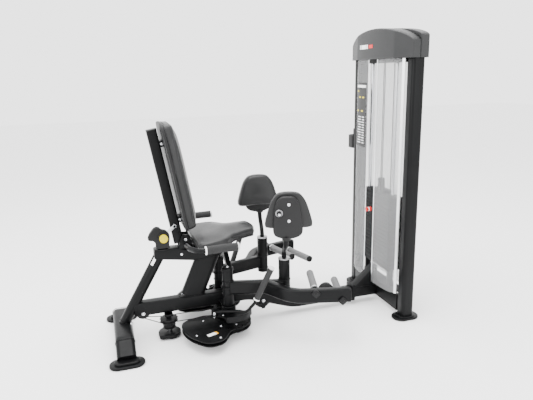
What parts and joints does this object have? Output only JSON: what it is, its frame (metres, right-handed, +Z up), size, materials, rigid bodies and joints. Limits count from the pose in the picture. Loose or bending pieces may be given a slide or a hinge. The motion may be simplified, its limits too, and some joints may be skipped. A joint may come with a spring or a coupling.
{
  "type": "hip abductor machine",
  "caption": "Seated gym machine for the outer thighs: padded swinging leg arms pull cables that lift an enclosed weight stack.",
  "frame": {"origin": "on the floor at the middle of the machine's bounding box", "axes": "+X from the seat to the weight tower, +Y to the far side, +Z up; XZ is the plane of symmetry of the frame"},
  "size_m": [1.688, 0.9058, 1.58],
  "materials": {
    "frame_paint": "satin charcoal black powder coat",
    "shroud_grey": "moulded mid grey, fine grain",
    "vinyl": "black upholstery vinyl, fine leather grain",
    "board": "dark grey moulded backing board",
    "black_plastic": "black moulded plastic",
    "grip_rubber": "grey moulded rubber",
    "bright_metal": "bright plated steel",
    "stack_paint": "black painted cast plates",
    "clear_acrylic": "pale translucent sheet",
    "yellow_plastic": "yellow moulded knob",
    "red_plastic": "red moulded knob",
    "cable_jacket": "black coated wire rope",
    "decal": "plain printed labels"
  },
  "bodies": {
    "machine": {"base_beam": "frame_paint", "rear_stabilizer": "frame_paint", "rear_leg_tube": "frame_paint", "seat_frame": "frame_paint", "pivot_yoke": "frame_paint", "seat_board": "board", "seat_cushion": "vinyl", "handle_bar": "frame_paint", "handle_grip_near": "grip_rubber", "handle_grip_far": "grip_rubber", "recline_housing": "black_plastic", "tower_upright_near": "frame_paint", "tower_upright_far": "frame_paint", "tower_base": "frame_paint", "tower_top_beam": "frame_paint", "tower_shroud": "shroud_grey", "front_shield_near": "clear_acrylic", "front_shield_far": "clear_acrylic", "rear_shield": "clear_acrylic", "guide_rod_near": "bright_metal", "guide_rod_far": "bright_metal", "resting_stack": "stack_paint", "bottle_holder": "black_plastic", "idler_post": "frame_paint", "lift_cable_near": "cable_jacket", "lift_cable_far": "cable_jacket"},
    "backrest": {"back_tube": "frame_paint", "back_board": "board", "back_cushion": "vinyl"},
    "recline_link": {"recline_strut": "bright_metal"},
    "recline_button": {"recline_knob": "yellow_plastic"},
    "lift": {"lifted_stack": "stack_paint"},
    "pin": {"selector_pin": "red_plastic"},
    "near_arm": {"leg_arm_near": "frame_paint", "cable_cam_near": "frame_paint", "rear_foot_peg_near": "grip_rubber", "front_foot_peg_near": "grip_rubber", "range_bracket_near": "frame_paint", "thigh_post_near": "bright_metal"},
    "near_pad": {"thigh_cover_near": "black_plastic", "thigh_cushion_near": "vinyl"},
    "near_pad_pin": {"thigh_pin_near": "bright_metal"},
    "near_lever": {"range_lever_near": "frame_paint"},
    "far_arm": {"leg_arm_far": "frame_paint", "cable_cam_far": "frame_paint", "rear_foot_peg_far": "grip_rubber", "front_foot_peg_far": "grip_rubber", "range_bracket_far": "frame_paint", "thigh_post_far": "bright_metal"},
    "far_pad": {"thigh_cover_far": "black_plastic", "thigh_cushion_far": "vinyl"},
    "far_pad_pin": {"thigh_pin_far": "bright_metal"},
    "far_lever": {"range_lever_far": "frame_paint"},
    "top_pulley_wheel": {"top_pulley": "black_plastic"},
    "tower_base_pulley_wheel": {"tower_base_pulley": "black_plastic"},
    "low_bend_pulley_wheel": {"low_bend_pulley": "black_plastic"},
    "high_bend_pulley_wheel": {"high_bend_pulley": "black_plastic"},
    "rear_pulley_wheel": {"rear_pulley": "black_plastic"},
    "lower_idler_wheel": {"lower_idler": "black_plastic"},
    "upper_idler_wheel": {"upper_idler": "black_plastic"}
  },
  "joints": [
    {"name": "recline", "type": "hinge", "parent": "machine", "child": "backrest", "pos_m": [-0.407, 0, 0.527], "axis": [0, -1, 0], "range_deg": [-4, 16]},
    {"name": "recline_strut_swing", "type": "hinge", "parent": "backrest", "child": "recline_link", "pos_m": [-0.459, 0, 0.604], "axis": [0, -1, 0], "range_deg": [-16, 4]},
    {"name": "recline_knob_pull", "type": "slide", "parent": "machine", "child": "recline_button", "axis": [0, -1, 0], "range_m": [0, 0.012], "stiffness_N_per_m": 600, "springref_m": -0.006},
    {"name": "stack_lift", "type": "slide", "parent": "machine", "child": "lift", "axis": [0, 0, 1], "range_m": [0, 0.0647]},
    {"name": "selector_pin_pull", "type": "slide", "parent": "lift", "child": "pin", "axis": [-1, 0, 0], "range_m": [0, 0.08]},
    {"name": "near_arm_swing", "type": "hinge", "parent": "machine", "child": "near_arm", "pos_m": [-0.208, -0.11, 0], "axis": [0, 0, -1], "range_deg": [0, 36]},
    {"name": "near_pad_turn", "type": "hinge", "parent": "near_arm", "child": "near_pad", "pos_m": [0.06079, -0.28278, 0.6], "axis": [0, 0, -1], "range_deg": [0, 180]},
    {"name": "near_pad_pin_pull", "type": "slide", "parent": "near_pad", "child": "near_pad_pin", "axis": [-0.2756, -0.9613, 0], "range_m": [0, 0.01], "stiffness_N_per_m": 500, "springref_m": -0.005},
    {"name": "near_range_lever", "type": "hinge", "parent": "near_arm", "child": "near_lever", "pos_m": [-0.29402, -0.14151, 0.14], "axis": [-0.2756, -0.9613, 0], "range_deg": [0, 8], "stiffness_Nm_per_rad": 8, "springref_deg": -17.19},
    {"name": "far_arm_swing", "type": "hinge", "parent": "machine", "child": "far_arm", "pos_m": [-0.208, 0.11, 0], "axis": [0, 0, 1], "range_deg": [0, 36]},
    {"name": "far_pad_turn", "type": "hinge", "parent": "far_arm", "child": "far_pad", "pos_m": [0.09596, 0.28356, 0.6], "axis": [0, 0, 1], "range_deg": [0, 180]},
    {"name": "far_pad_pin_pull", "type": "slide", "parent": "far_pad", "child": "far_pad_pin", "axis": [0.1045, 0.9945, 0], "range_m": [0, 0.01], "stiffness_N_per_m": 500, "springref_m": -0.005},
    {"name": "far_range_lever", "type": "hinge", "parent": "far_arm", "child": "far_lever", "pos_m": [-0.29402, 0.14151, 0.14], "axis": [0.2756, -0.9613, 0], "range_deg": [0, 8], "stiffness_Nm_per_rad": 8, "springref_deg": -17.19},
    {"name": "top_pulley_spin", "type": "hinge", "parent": "machine", "child": "top_pulley_wheel", "pos_m": [0.79, 0, 1.462], "axis": [0, 1, 0], "range_deg": [0, 113]},
    {"name": "tower_base_pulley_spin", "type": "hinge", "parent": "machine", "child": "tower_base_pulley_wheel", "pos_m": [0.795, 0, 0.084], "axis": [0, 1, 0], "range_deg": [0, 133]},
    {"name": "low_bend_pulley_spin", "type": "hinge", "parent": "machine", "child": "low_bend_pulley_wheel", "pos_m": [0.408, 0, 0.1], "axis": [0, 1, 0], "range_deg": [0, 85]},
    {"name": "high_bend_pulley_spin", "type": "hinge", "parent": "machine", "child": "high_bend_pulley_wheel", "pos_m": [0.011, 0, 0.112], "axis": [0, 1, 0], "range_deg": [-81, 0]},
    {"name": "rear_pulley_spin", "type": "hinge", "parent": "machine", "child": "rear_pulley_wheel", "pos_m": [-0.651, 0, 0.142], "axis": [0, 1, 0], "range_deg": [-113, 0]},
    {"name": "lower_idler_spin", "type": "hinge", "parent": "machine", "child": "lower_idler_wheel", "pos_m": [-0.522, -0.038, 0.06], "axis": [0, 0, 1], "range_deg": [-120, 0]},
    {"name": "upper_idler_spin", "type": "hinge", "parent": "machine", "child": "upper_idler_wheel", "pos_m": [-0.522, -0.038, 0.06], "axis": [0, 0, 1], "range_deg": [-83, 0]}
  ],
  "couplings": [
    {"joint": "recline_strut_swing", "follows": "recline", "ratio": -1},
    {"joint": "near_arm_swing", "follows": "stack_lift", "rad_per_m": 9.7087},
    {"joint": "far_arm_swing", "follows": "stack_lift", "rad_per_m": 9.7087},
    {"joint": "top_pulley_spin", "follows": "stack_lift", "rad_per_m": 30.303},
    {"joint": "tower_base_pulley_spin", "follows": "stack_lift", "rad_per_m": 35.714},
    {"joint": "low_bend_pulley_spin", "follows": "stack_lift", "rad_per_m": 22.727},
    {"joint": "high_bend_pulley_spin", "follows": "stack_lift", "rad_per_m": -21.739},
    {"joint": "rear_pulley_spin", "follows": "stack_lift", "rad_per_m": -30.303},
    {"joint": "lower_idler_spin", "follows": "stack_lift", "rad_per_m": -32.258},
    {"joint": "upper_idler_spin", "follows": "stack_lift", "rad_per_m": -22.222}
  ]
}
